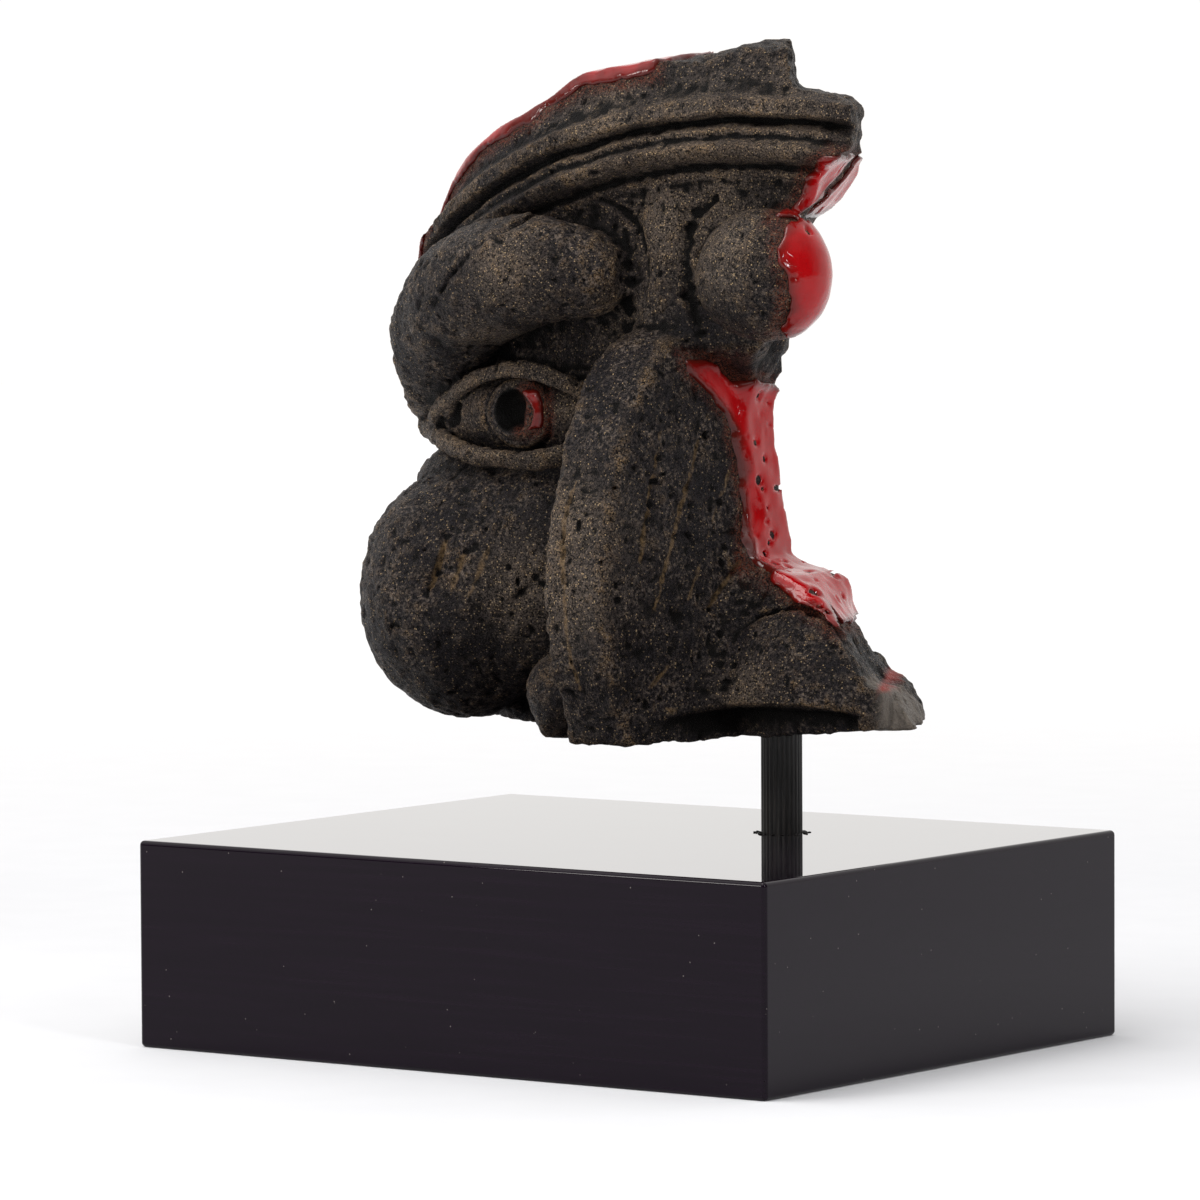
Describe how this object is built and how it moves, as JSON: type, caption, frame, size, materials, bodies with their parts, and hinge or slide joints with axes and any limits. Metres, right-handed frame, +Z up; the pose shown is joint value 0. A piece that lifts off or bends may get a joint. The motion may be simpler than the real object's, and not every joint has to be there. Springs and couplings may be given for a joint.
{
  "type": "ceramic face fragment on plinth",
  "caption": "Broken, hollow-backed clay face with a wedge nose and glazed edges, held up by a fluted dowel on a block plinth.",
  "frame": {"origin": "middle of the plinth's underside", "axes": "+Z up, the face looks towards -Y, +X to the viewer's right from the front"},
  "size_m": [0.22, 0.18, 0.2899],
  "materials": {
    "clay": "coarse fired black clay, rubbed with bronze, with gloss crimson glaze on the breaks",
    "painted_wood": "matt black paint",
    "lacquer": "black lacquer, half gloss"
  },
  "bodies": {
    "root": {"face_fragment": "clay", "dowel": "painted_wood", "plinth": "lacquer"}
  },
  "joints": []
}
